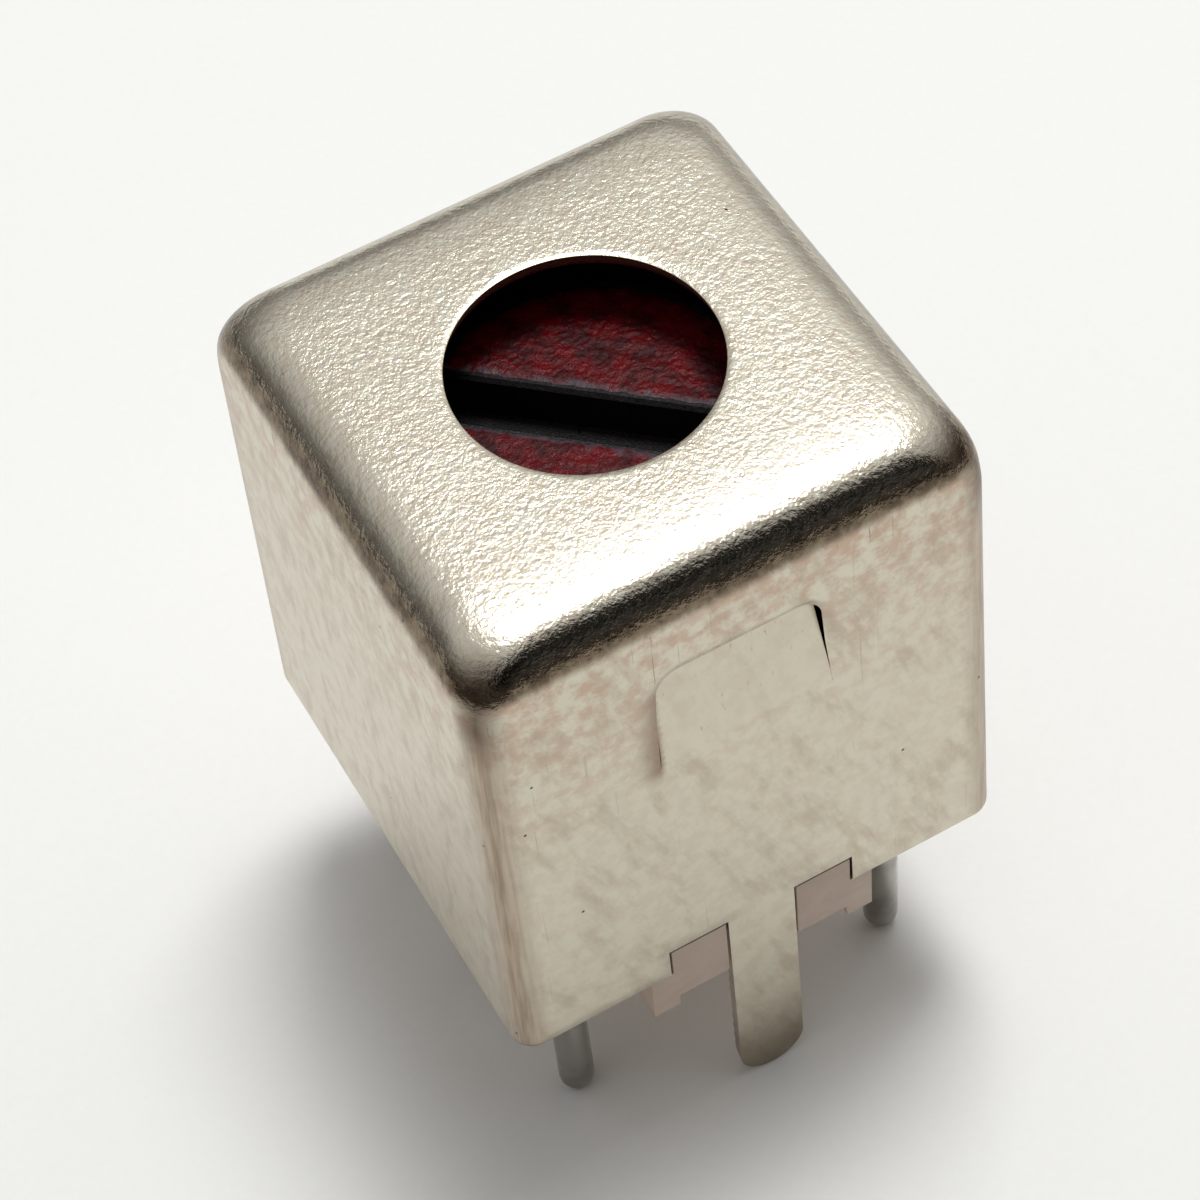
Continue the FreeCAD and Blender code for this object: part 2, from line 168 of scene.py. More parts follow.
def distance_to(points, lines):
    """Distance of each point from the nearest of the given open lines."""
    best = np.full(len(points), 1.0)
    for chain in lines:
        for p, q in zip(chain, chain[1:]):
            p, q = np.array(p), np.array(q)
            along = np.clip(((points - p) @ (q - p)) / max((q - p) @ (q - p), 1e-18), 0, 1)
            best = np.minimum(best, np.linalg.norm(points - p - along[:, None] * (q - p), axis=1))
    return best


def triangles(loops, keep, fill):
    """Flat sheet through closed outlines and inner points: its points and the triangles keep() accepts."""
    points, edges = [], []
    for loop in loops:
        first = len(points)
        points += loop
        edges += [(first + n, first + (n + 1) % len(loop)) for n in range(len(loop))]
    points += fill
    flat = [Vector(p) / mm for p in points]
    verts, _, faces, *_ = delaunay_2d_cdt(flat, edges, [], 0, 1e-5)
    verts = np.array(verts) * mm
    faces = np.array(faces)
    a, b, c = (verts[faces[:, n]] for n in range(3))
    flat_area = np.abs((b - a)[:, 0] * (c - a)[:, 1] - (b - a)[:, 1] * (c - a)[:, 0])
    longest = np.max([np.linalg.norm(p - q, axis=1) for p, q in ((a, b), (b, c), (c, a))], axis=0)
    faces = faces[flat_area > sliver * longest]
    middles = verts[faces].mean(axis=1)
    return verts, faces[keep(middles)]


def fill_points(loops, low, high, step, keep):
    """Staggered points between two corners, clear of the outlines."""
    rows = int((high[1] - low[1]) / (step * row_share)) + 1
    columns = int((high[0] - low[0]) / step) + 2
    found = [(low[0] + (i + 0.5 * (j % 2)) * step, low[1] + j * step * row_share)
             for j in range(rows) for i in range(columns)]
    found = np.array(found)
    found = found[keep(found)]
    found = found[distance_to(found, [loop + loop[:1] for loop in loops]) > clear_share * step]
    return [tuple(p) for p in found]


def rolled(distance, width, drop):
    """How far a cut edge is pressed in, at a distance from it."""
    return drop * np.clip(1 - distance / width, 0, 1) ** 2


class Sheet:
    """Collects the patches of a folded sheet, as loose points and faces that are joined at the end."""

    def __init__(self):
        self.points = []
        self.faces = []

    def patch(self, points, faces, quarter=0):
        turn = Matrix.Rotation(math.pi / 2 * quarter, 3, "Z")
        first = len(self.points)
        self.points += [turn @ Vector(p) for p in points]
        self.faces += [[first + int(i) for i in face] for face in faces]

    def grid(self, rows, quarter=0):
        """Rows of points, each from left to right as seen from outside, from the bottom up."""
        wide = len(rows[0])
        faces = []
        for j in range(len(rows) - 1):
            for i in range(wide - 1):
                a = j * wide + i
                faces.append([a, a + 1, a + wide + 1, a + wide])
        self.patch([p for row in rows for p in row], faces, quarter)

    def mesh(self, name):
        made = bpy.data.meshes.new(name)
        made.from_pydata(self.points, [], self.faces)
        shell = bmesh.new()
        shell.from_mesh(made)
        bmesh.ops.remove_doubles(shell, verts=shell.verts, dist=same_place)
        bmesh.ops.dissolve_degenerate(shell, edges=shell.edges, dist=same_place / 2)
        bmesh.ops.recalc_face_normals(shell, faces=shell.faces)
        shell.to_mesh(made)
        shell.free()
        return made


def piece(name, mesh, body, material, slot_name, *nodes):
    """Finished piece on its body, standing for its CAD nodes."""
    made = bpy.data.objects.new(name, mesh)
    scene.collection.objects.link(made)
    mesh.materials.clear()
    mesh.materials.append(material)
    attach(made, body)
    if nodes:
        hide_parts(*nodes)
    return made


def baked(made):
    """Plain mesh of an object with its modifiers, which are then gone with it."""
    graph = bpy.context.evaluated_depsgraph_get()
    mesh = bpy.data.meshes.new_from_object(made.evaluated_get(graph))
    bpy.data.objects.remove(made)
    return mesh


def scratch_object(name, mesh):
    made = bpy.data.objects.new(name, mesh)
    scene.collection.objects.link(made)
    return made


def smooth(mesh, degrees=35):
    mesh.shade_smooth()
    mesh.set_sharp_from_angle(angle=math.radians(degrees))


# ---- the can --------------------------------------------------------------------------------------
def wall_level(z):
    """Height, half width and corner radius of the can's outline on its walls."""
    return z, half_at(z), corner_at(z)


def round_level(turn):
    """The same on the top's round, where it has turned by an angle from level."""
    z = round_centre_z + top_radius * math.sin(turn)
    return z, round_centre_y + top_radius * math.cos(turn), corner_at(z)


wall_heights = steps(can_bottom, wall_top, wall_rows)
edge_rows = [can_bottom + share * cut_roll_width for share in cut_roll_shares]
wall_levels = [wall_level(z) for z in sorted(wall_heights[:1] + edge_rows + wall_heights[2:])]
round_levels = [round_level(turn) for turn in steps(draft_angle, math.pi / 2 - crown_slope, round_steps)]


def front_outline():
    """Outline of the front wall's flat part, with notches and lug, against x and z."""
    sides = [(half - corner, z) for z, half, corner in wall_levels]
    foot = sides[0][0]
    top = [(sides[-1][0] * share, wall_top) for share in steps(1, -1, wall_columns)]
    round_z = lug_tip + lug_half
    loop = line((-foot, can_bottom), (-notch_half, can_bottom))
    loop += line((-notch_half, can_bottom), (-notch_half, notch_top))
    loop += line((-notch_half, notch_top), (-lug_half, notch_top))
    loop += line((-lug_half, notch_top), (-lug_half, round_z))
    loop += arc((0, round_z), lug_half, 180, 360)
    loop += line((lug_half, round_z), (lug_half, notch_top))
    loop += line((lug_half, notch_top), (notch_half, notch_top))
    loop += line((notch_half, notch_top), (notch_half, can_bottom))
    loop += line((notch_half, can_bottom), (foot, can_bottom))
    free_edge = loop + [(foot, can_bottom)]
    loop += sides[:-1] + top[:-1]
    loop += [(-x, z) for x, z in reversed(sides)][:-1]
    return loop, free_edge


def panel_outline(gap):
    """Cut outline of the locking panel: from its right root up, round its tip and down to its left root."""
    root = Vector((panel_root_half - root_gap_share * gap, panel_root))
    tip = Vector((panel_tip_half - gap, panel_tip - gap))
    other_tip = Vector((-tip.x, tip.y))
    to_root = (root - tip).normalized()
    across = (other_tip - tip).normalized()
    half_turn = to_root.angle(across) / 2
    reach = panel_corner / math.tan(half_turn)
    centre = tip + (to_root + across).normalized() * panel_corner / math.sin(half_turn)
    start = tip + to_root * reach
    lean = math.degrees(math.atan2(start.y - centre.y, start.x - centre.x))
    right = line(root, start, fine_step) + arc(centre, panel_corner, lean, 90, fine_step / 2)
    middle = line((centre.x, tip.y), (-centre.x, tip.y), fine_step)
    return right + middle + [(-x, z) for x, z in reversed(right + middle[:1])]


def panel_dent(z):
    """How far the panel is pressed in at a height: a short bend at its root, then straight."""
    share = np.clip((z - panel_root) / (panel_tip - panel_root), 0, 1)
    bent = share ** 2 / (2 * panel_bend)
    straight = share - panel_bend / 2
    return panel_lean * np.where(share < panel_bend, bent, straight) / (1 - panel_bend / 2)


def add_locking_wall(sheet, quarter):
    """Front or back wall, with its lug, its notches and the panel that is cut and pressed in."""
    outline, free_edge = front_outline()
    cut = panel_outline(0)
    panel = panel_outline(panel_gap)
    root = line(panel[-1], panel[0], fine_step)
    window = cut + root + [panel[0]]
    tongue = panel + root[1:]

    def in_wall(points):
        return inside(points, outline) & ~inside(points, window)

    def in_tongue(points):
        return inside(points, tongue)

    def near_cut(points):
        return distance_to(points, [cut]) < fine_reach

    loops = [outline, window, tongue]
    low = (-can_width / 2, lug_tip)
    high = (can_width / 2, wall_top)
    fill = fill_points(loops, low, high, coarse_step, lambda p: (in_wall(p) | in_tongue(p)) & ~near_cut(p))
    low = (-panel_root_half - fine_reach, panel_root - fine_reach)
    high = (panel_root_half + fine_reach, panel_tip + fine_reach)
    fill += fill_points(loops, low, high, fine_step, lambda p: (in_wall(p) | in_tongue(p)) & near_cut(p))
    points, faces = triangles(loops, lambda p: in_wall(p) | in_tongue(p), fill)
    middles = points[faces].mean(axis=1)
    on_tongue = np.zeros(len(points), bool)
    on_tongue[faces[in_tongue(middles)].ravel()] = True
    on_tongue &= points[:, 1] > panel_root + same_place
    dent = rolled(distance_to(points, [free_edge]), cut_roll_width, cut_roll_drop)
    fade = np.clip((points[:, 1] - panel_root) / (3 * window_roll_width), 0, 1)
    dent += fade * rolled(distance_to(points, [cut]), window_roll_width, window_roll_drop)
    dent = np.where(on_tongue, panel_dent(points[:, 1]), dent)
    placed = [(x, -half_at(z) + inward, z) for (x, z), inward in zip(points, dent)]
    sheet.patch(placed, faces, quarter)


def edge_dent(z):
    return float(rolled(z - can_bottom, cut_roll_width, cut_roll_drop))


def straight_row(level, dent=0.0):
    z, half, corner = level
    return [((half - corner) * share, dent - half, z) for share in steps(-1, 1, wall_columns)]


def corner_row(level, dent=0.0):
    """Quarter circle from the front wall round to the right wall."""
    z, half, corner = level
    turns = steps(-math.pi / 2, 0, round_steps)
    middle, radius = half - corner, corner - dent
    return [(middle + radius * math.cos(t), -middle + radius * math.sin(t), z) for t in turns]


def add_top(sheet):
    """Top with the hole for the trimming tool."""
    outline = []
    for quarter in range(4):
        turn = Matrix.Rotation(math.pi / 2 * quarter, 3, "Z")
        edge = straight_row(round_levels[-1]) + corner_row(round_levels[-1])[1:-1]
        outline += [(turn @ Vector(p)).to_2d()[:] for p in edge]
    circles = [arc((0, 0), hole_radius + share * hole_roll_width, 0, 360) for share in hole_roll_shares]

    def kept(points):
        return inside(points, outline) & ~inside(points, circles[0])

    reach = round_levels[-1][1]
    fill = fill_points([outline] + circles, (-reach, -reach), (reach, reach), coarse_step, kept)
    fill = [p for p in fill if math.hypot(*p) > hole_radius + hole_roll_width]
    points, faces = triangles([outline] + circles, kept, fill)
    drop = rolled(np.hypot(points[:, 0], points[:, 1]) - hole_radius, hole_roll_width, hole_roll_drop)
    drop += rolled(distance_to(points, [outline + outline[:1]]), crown_width, crown_drop)
    sheet.patch([(x, y, can_top - d) for (x, y), d in zip(points, drop)], faces)


def can_mesh():
    sheet = Sheet()
    for quarter in (0, 2):
        add_locking_wall(sheet, quarter)
        sheet.grid([straight_row(level, edge_dent(level[0])) for level in wall_levels], quarter + 1)
    corners = [corner_row(level, edge_dent(level[0])) for level in wall_levels]
    corners += [corner_row(level) for level in round_levels[1:]]
    for quarter in range(4):
        sheet.grid(corners, quarter)
        sheet.grid([straight_row(level) for level in round_levels], quarter)
    add_top(sheet)
    drawn = scratch_object("drawn_sheet", sheet.mesh("drawn_sheet"))
    wall = drawn.modifiers.new("sheet", "SOLIDIFY")
    wall.thickness = can_sheet
    wall.offset = -1
    wall.use_even_offset = True
    mesh = baked(drawn)
    smooth(mesh, 40)
    mark_tool_marks_and_shade(mesh)
    return mesh


def mark_tool_marks_and_shade(mesh):
    """Attributes for the tools' marks and for painted shade: burnished upright corners, a painted brown shade
    beside each locking panel, the panel itself, and the hole's bare cut edge."""
    spots = np.array([v.co for v in mesh.vertices])
    x, y, z = np.abs(spots[:, 0]), np.abs(spots[:, 1]), spots[:, 2]
    half = half_at(z)
    from_edge = half - np.minimum(x, y)
    corner = np.clip(burnish_reach - from_edge / waist_corner, 0, 1)
    up_panel = (z - panel_root) / (panel_tip - panel_root)
    half_panel = panel_root_half + (panel_tip_half - panel_root_half) * up_panel
    on_panel = (x < half_panel - panel_gap / 2) & (z > panel_root) & (z < panel_tip - panel_gap / 2)
    side = [(-panel_root_half, panel_root), (-panel_tip_half, panel_tip - panel_corner)]
    facing = np.stack([spots[:, 0] * -np.sign(spots[:, 1]), z], axis=1)
    beside = np.clip(panel_shade_reach - distance_to(facing, [side]) / panel_shade_width, 0, 1)
    beside *= np.clip(1 - (facing[:, 0] + half_panel) / fine_step, 0, 1) * (y > half - 2 * can_sheet)
    cut = (np.hypot(spots[:, 0], spots[:, 1]) < hole_radius + cut_edge) & (z > can_top - 2 * can_sheet)
    amounts = {"burnish": corner, "painted_panel_shade": panel_shade_strength * beside, "pressed": on_panel, "cut": cut}
    for name, amount in amounts.items():
        marked = mesh.attributes.new(name, "FLOAT", "POINT")
        marked.data.foreach_set("value", amount.astype(np.float32))


# ---- the other pieces -----------------------------------------------------------------------------
ring_points = 32
pin_flat = 0.28 * mm                    # half the coined root's width
pin_dome_rows = 6
pin_tip_turn = 0.12                     # the dome ends in a small flat, whose rim is this many radians round
pin_round_top = 0.42 * mm               # the pin runs round into its bead of solder
pin_square_foot = 0.52 * mm             # and is square from here up
solder_bore = 0.3 * mm
solder_neck = 0.46 * mm
solder_rows = 40
solder_fullness = 0.7                   # a power below 1 makes the bead plump
solder_ripple = 0.018 * mm              # the wire's turns show through the solder
solder_turn = 0.13 * mm
turns_share = 0.55                      # share of the ripple that the turns make
lumps_share = 0.45                      # and share that lumps make
lump_steps = 1.5                        # how far the lumps' noise runs along a bead
lump_shift = 7                          # and how far it moves on for each millimetre along X
mould_edge = 0.04 * mm
mould_plane = math.radians(2)           # faces this near to one plane are one
mould_crease = math.radians(40)         # and sharper edges than this are rounded
slot_turn = math.radians(-42.7)         # the slot as the photographed core was left
coat_radius = 2.93 * mm
coat_edge = 0.575 * mm                  # worn back from the slot's middle line
coat_step = 0.05 * mm
coat_fade = 0.28 * mm                   # over which the lacquer is rubbed thin along the slot
coat_chip = 0.2 * mm                    # size of the ragged patches rubbed off there
coat_dip = 0.3 * mm                     # size of the dips in its outline
coat_worn = 0.03                        # the outline is worn this share of the way to its middle,
coat_worn_swing = 0.05                  # with this much more or less
coat_worn_most = 0.1                    # and never more than this
coat_grit = 0.07 * mm
coat_streak = (1.4 * mm, 0.16 * mm)     # length and width of the brush's streaks
coat_level = 0.55                       # its height, as a share of the full one,
coat_grit_share = 0.3                   # and what its grit and its streaks add or take
coat_streak_share = 0.25
coat_thinnest = 0.15
coat_foot = 0.25                        # its edge starts at this share of the height
coat_rise = 0.12 * mm                   # and reaches it about this far in
wire_size = 0.1 * mm                    # enamelled wire, thicker than the real one so that its turns show
wire_proud = 0.6                        # share of it that stands proud of the layers below
wire_sides = 8
turn_points = 40
shaft_radius = 1.05 * mm
primary_radius = 1.68 * mm
secondary_radius = 2.1 * mm


def rings(rows, joined=False):
    """Mesh through rings of points, from the bottom up: capped, or with its last ring joined to its first."""
    wide, count = len(rows[0]), len(rows)
    faces = []
    for j in range(count if joined else count - 1):
        a, b = j * wide, (j + 1) % count * wide
        faces += [(a + i, a + (i + 1) % wide, b + (i + 1) % wide, b + i) for i in range(wide)]
    if not joined:
        faces += [tuple(reversed(range(wide))), tuple(range((count - 1) * wide, count * wide))]
    made = bpy.data.meshes.new("rings")
    made.from_pydata([p for row in rows for p in row], [], faces)
    smooth(made)
    return made


def ring(x, y, z, radius_at):
    turns = steps(0, 2 * math.pi, ring_points)[:-1]
    return [(x + radius_at(t) * math.cos(t), y + radius_at(t) * math.sin(t), z) for t in turns]


def pin_mesh(node):
    """Round pin with a domed tip, and a root coined square to grip the base."""
    low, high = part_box(node)
    x, y = (low.x + high.x) / 2, (low.y + high.y) / 2
    radius = (high.x - low.x) / 2

    def section(square):
        return lambda t: radius + square * (pin_flat / max(abs(math.cos(t)), abs(math.sin(t))) - radius)

    rows = []
    for turn in steps(pin_tip_turn, math.pi / 2, pin_dome_rows):
        narrowed = radius * math.sin(turn)
        rows.append(ring(x, y, low.z + radius * (1 - math.cos(turn)), lambda t, r=narrowed: r))
    for z, square in ((pin_round_top, 0), (pin_square_foot, 1), (high.z, 1)):
        rows.append(ring(x, y, z, section(square)))
    return rings(rows)


def solder_mesh(node):
    """Dipped joint: a bead of solder over the turns of wire wrapped round the pin."""
    low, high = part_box(node)
    x, y = (low.x + high.x) / 2, (low.y + high.y) / 2
    bulge = (high.x - low.x) / 2 - solder_ripple

    def bead(z, share):
        swell = solder_neck + (bulge - solder_neck) * math.sin(math.pi * share) ** solder_fullness

        def radius_at(t):
            along = lump_steps * share + lump_shift * x / mm
            lump = noise.noise(Vector((math.cos(t), math.sin(t), along)))
            wrap = math.cos(t - 2 * math.pi * z / solder_turn) * math.sin(math.pi * share)
            return swell + solder_ripple * (turns_share * wrap + lumps_share * lump)

        return ring(x, y, z, radius_at)

    rows = [bead(low.z + (high.z - low.z) * share, share) for share in steps(0, 1, solder_rows)]
    rows += [ring(x, y, z, lambda t: solder_bore) for z in (high.z, low.z)]
    return rings(rows, joined=True)


def softened(node, width):
    """A CAD node's shape with its sharp edges rounded, as a mould leaves them."""
    mesh = frame["nodes"][node].data.copy()
    shell = bmesh.new()
    shell.from_mesh(mesh)
    bmesh.ops.remove_doubles(shell, verts=shell.verts, dist=same_place)
    bmesh.ops.dissolve_limit(shell, angle_limit=mould_plane, verts=shell.verts, edges=shell.edges)
    shell.to_mesh(mesh)
    shell.free()
    edged = scratch_object("edged", mesh)
    edge = edged.modifiers.new("edge", "BEVEL")
    edge.width = width
    edge.segments = 2
    edge.limit_method = "ANGLE"
    edge.angle_limit = mould_crease
    mesh = baked(edged)
    smooth(mesh)
    return mesh


def coat_outline():
    """Outline of the lacquer beside the slot, worn back unevenly, with the slot along X."""
    reach = math.sqrt(coat_radius ** 2 - coat_edge ** 2)
    lean = math.degrees(math.asin(coat_edge / coat_radius))
    loop = line((-reach, coat_edge), (reach, coat_edge), coat_step)
    loop += arc((0, 0), coat_radius, lean, 180 - lean, coat_step)
    middle = Vector((0, coat_radius / 2))
    worn = []
    for p in loop:
        ragged = noise.fractal(Vector((*p, 0)) / coat_dip, 1.0, 2.0, 3)
        inwards = min(max(coat_worn + coat_worn_swing * ragged, 0), coat_worn_most)
        worn.append((Vector(p).lerp(middle, inwards))[:])
    return worn


def lacquer_mesh():
    """Two thin coats, one on each side of the slot: brushed on, gritty, and rubbed away along the slot."""
    low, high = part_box("core_lacquer")
    coats = bmesh.new()
    outline = coat_outline()
    fill = fill_points([outline], (-coat_radius, 0), (coat_radius, coat_radius), coat_step,
                       lambda p: inside(p, outline))
    points, faces = triangles([outline], lambda p: inside(p, outline), fill)
    from_edge = distance_to(points, [outline + outline[:1]])
    from_slot = points[:, 1] - coat_edge
    full = high.z - low.z
    worn_layer = coats.verts.layers.float.new("worn")
    for half_turn in (0, math.pi):
        turn = Matrix.Rotation(slot_turn + half_turn, 3, "Z")
        verts = []
        for (x, y), edge, slot in zip(points, from_edge, from_slot):
            spot = turn @ Vector((x, y, 0))
            grit = noise.fractal(spot / coat_grit, 0.8, 2.0, 3)
            streak = noise.noise(Vector((x / coat_streak[0], y / coat_streak[1], 3 + half_turn)))
            level = coat_level + coat_grit_share * grit + coat_streak_share * streak
            height = min(max(level, coat_thinnest), 1) * min(coat_foot + edge / coat_rise, 1)
            spot.z = low.z + full * height
            vert = coats.verts.new(spot)
            ragged = noise.fractal(spot / coat_chip, 0.9, 2.0, 3) / 2
            vert[worn_layer] = min(max(1 - slot / coat_fade + ragged, 0), 1)
            verts.append(vert)
        top = [coats.faces.new([verts[int(i)] for i in face]) for face in faces]
        under = bmesh.ops.extrude_face_region(coats, geom=top, use_keep_orig=True)["geom"]
        for vert in under:
            if isinstance(vert, bmesh.types.BMVert):
                vert.co.z = low.z
    bmesh.ops.recalc_face_normals(coats, faces=coats.faces)
    mesh = bpy.data.meshes.new("lacquer")
    coats.to_mesh(mesh)
    coats.free()
    smooth(mesh, 50)
    return mesh


def winding_tree():
    """Tree that lays the outer turns of a winding over the body that it is given."""
    tree = bpy.data.node_groups.new("outer turns", "GeometryNodeTree")
    tree.interface.new_socket("Body", in_out="INPUT", socket_type="NodeSocketGeometry")
    for name in ("Radius", "Wire", "Bottom", "Height"):
        tree.interface.new_socket(name, in_out="INPUT", socket_type="NodeSocketFloat")
    tree.interface.new_socket("Finish", in_out="INPUT", socket_type="NodeSocketMaterial")
    tree.interface.new_socket("Winding", in_out="OUTPUT", socket_type="NodeSocketGeometry")
    given = tree.nodes.new("NodeGroupInput").outputs
    middle = add(tree, "ShaderNodeMath", {0: given["Wire"], 1: 0.5}, operation="MULTIPLY")
    centre = add(tree, "ShaderNodeMath", {0: given["Radius"], 1: middle}, operation="SUBTRACT")
    turns = add(tree, "ShaderNodeMath", {0: given["Height"], 1: given["Wire"]}, operation="DIVIDE")
    path = add(tree, "GeometryNodeCurveSpiral", {"Resolution": turn_points, "Rotations": turns,
                                                 "Start Radius": centre, "End Radius": centre,
                                                 "Height": given["Height"]})
    lift = add(tree, "ShaderNodeCombineXYZ", {"Z": given["Bottom"]})
    raised = add(tree, "GeometryNodeTransform", {"Geometry": path, "Translation": lift})
    section = add(tree, "GeometryNodeCurvePrimitiveCircle", {"Resolution": wire_sides, "Radius": middle})
    wire = add(tree, "GeometryNodeCurveToMesh", {"Curve": raised, "Profile Curve": section,
                                                 "Fill Caps": True})
    both = tree.nodes.new("GeometryNodeJoinGeometry")
    tree.links.new(wire, both.inputs[0])
    tree.links.new(given["Body"], both.inputs[0])
    whole = add(tree, "GeometryNodeRealizeInstances", {"Geometry": both.outputs[0]})
    finished = add(tree, "GeometryNodeSetMaterial", {"Geometry": whole, "Material": given["Finish"]})
    tree.links.new(finished, tree.nodes.new("NodeGroupOutput").inputs["Winding"])
    return tree


def winding_mesh(tree, node, inner, outer, finish):
    """Tube of the lower layers, with the outer layer's turns laid on it by the tree."""
    low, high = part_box(node)
    under = outer - wire_proud * wire_size
    profile = [(under, low.z), (under, high.z), (inner, high.z), (inner, low.z)]
    body = rings([ring(0, 0, z, lambda t, r=r: r) for r, z in profile], joined=True)
    wound = scratch_object("wound", body)
    turns = wound.modifiers.new("turns", "NODES")
    turns.node_group = tree
    values = {"Radius": outer, "Wire": wire_size, "Bottom": low.z + wire_size / 2,
              "Height": high.z - low.z - wire_size, "Finish": finish}
    for socket in tree.interface.items_tree:
        if socket.name in values:
            turns[socket.identifier] = values[socket.name]
    mesh = baked(wound)
    smooth(mesh, 50)
    return mesh


# ---- materials ------------------------------------------------------------------------------------
def colour(code):
    """Linear colour of an sRGB hex value."""
    parts = [int(code[n:n + 2], 16) / 255 for n in (1, 3, 5)]
    return tuple(c / 12.92 if c <= 0.04045 else ((c + 0.055) / 1.055) ** 2.4 for c in parts) + (1.0,)


def add(tree, kind, inputs=None, out=None, **settings):
    """Adds a node with its settings and its inputs, values or other nodes' outputs, and gives an output."""
    node = tree.nodes.new(kind if "Node" in kind else "ShaderNode" + kind)
    for key, value in settings.items():
        setattr(node, key, value)
    for key, value in (inputs or {}).items():
        socket = node.inputs[key] if isinstance(key, int) else next(
            s for s in node.inputs if s.enabled and key in (s.identifier, s.name))
        if isinstance(value, bpy.types.NodeSocket):
            tree.links.new(value, socket)
        else:
            socket.default_value = value
    return node.outputs[out] if out else next((s for s in node.outputs if s.enabled), None)


def material(name, build):
    """New material whose surface is the shader that build() returns."""
    made = bpy.data.materials.new(name)
    made.use_nodes = True
    tree = made.node_tree
    tree.nodes.clear()
    add(tree, "OutputMaterial", {"Surface": build(tree)})
    return made


smooth_step = {"interpolation_type": "SMOOTHSTEP"}
in_colour = {"data_type": "RGBA"}


